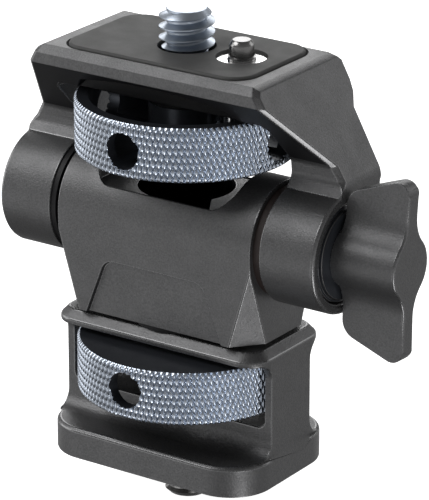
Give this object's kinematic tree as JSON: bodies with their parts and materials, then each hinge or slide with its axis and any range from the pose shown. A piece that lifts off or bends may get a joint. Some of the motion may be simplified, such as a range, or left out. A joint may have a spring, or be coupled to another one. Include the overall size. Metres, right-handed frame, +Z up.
{
  "type": "swivel and tilt bracket",
  "caption": "Swivel-and-tilt bracket with captive threaded studs at both ends, knurled thumbwheels, a sprung locating pin and a wing-knob tilt clamp.",
  "frame": {"origin": "swivel axis on the bottom mounting face", "axes": "+Z up along the swivel axis and both screws, +X along the tilt axis towards the wing knob, -Y the front"},
  "size_m": [0.0513, 0.0256, 0.0588],
  "materials": {
    "anodised_grey": "bead-blasted dark grey anodised",
    "anodised_black": "black anodised with a bare diamond knurl",
    "plated_steel": "zinc plated",
    "stainless": "turned stainless",
    "bronze": "sintered bronze",
    "rubber_grey": "matte",
    "polymer_black": "acetal",
    "fibre_brown": "fibre friction washer"
  },
  "bodies": {
    "base": {"base_housing": "anodised_grey", "base_pad": "rubber_grey", "swivel_bolt": "plated_steel", "swivel_disc_spring": "stainless", "swivel_thrust_washer": "bronze", "swivel_friction_ring": "polymer_black"},
    "head": {"tilt_block": "anodised_grey", "left_pivot_screw": "plated_steel", "clamp_stud": "plated_steel"},
    "yoke": {"yoke": "anodised_grey", "top_pad": "rubber_grey", "left_bush": "bronze", "right_bush": "bronze", "left_friction_washer": "polymer_black", "right_friction_washer": "fibre_brown", "pin_barrel": "stainless", "pin_spring": "plated_steel", "pin_retainer": "stainless"},
    "lower_float": {"lower_thrust_washer": "polymer_black"},
    "lower_drive": {"lower_screw": "plated_steel", "lower_wheel": "anodised_black", "lower_set_screws": "plated_steel"},
    "upper_float": {"upper_thrust_washer": "polymer_black"},
    "upper_drive": {"upper_screw": "plated_steel", "upper_wheel": "anodised_black", "upper_set_screws": "plated_steel"},
    "knob_slide": {"clamp_washer": "stainless"},
    "knob": {"tilt_knob": "anodised_grey", "knob_insert": "plated_steel"},
    "pin": {"locating_pin": "stainless"}
  },
  "joints": [
    {"name": "swivel", "type": "hinge", "parent": "base", "child": "head", "pos_m": [0, 0, 0], "axis": [0, 0, 1], "continuous": true},
    {"name": "tilt", "type": "hinge", "parent": "head", "child": "yoke", "pos_m": [0, 0, 0.02884], "axis": [1, 0, 0], "range_deg": [-80, 80]},
    {"name": "lower_screw_float", "type": "slide", "parent": "base", "child": "lower_float", "axis": [0, 0, 1], "range_m": [-0.0011, 0.0006]},
    {"name": "lower_wheel_spin", "type": "hinge", "parent": "lower_float", "child": "lower_drive", "pos_m": [0, 0, 0], "axis": [0, 0, 1], "continuous": true},
    {"name": "upper_screw_float", "type": "slide", "parent": "yoke", "child": "upper_float", "axis": [0, 0, 1], "range_m": [-0.001, 0.0003]},
    {"name": "upper_wheel_spin", "type": "hinge", "parent": "upper_float", "child": "upper_drive", "pos_m": [0, 0, 0.03725], "axis": [0, 0, 1], "continuous": true},
    {"name": "knob_travel", "type": "slide", "parent": "head", "child": "knob_slide", "axis": [1, 0, 0], "range_m": [0, 0.0008]},
    {"name": "knob_turn", "type": "hinge", "parent": "knob_slide", "child": "knob", "pos_m": [0, 0, 0.02884], "axis": [1, 0, 0], "range_deg": [0, 360]},
    {"name": "pin_press", "type": "slide", "parent": "yoke", "child": "pin", "axis": [0, 0, 1], "range_m": [-0.00195, 0], "stiffness_N_per_m": 600, "springref_m": 0.001, "deforming": ["pin_spring"]}
  ],
  "couplings": [
    {"joint": "knob_turn", "follows": "knob_travel", "rad_per_m": 7854}
  ]
}
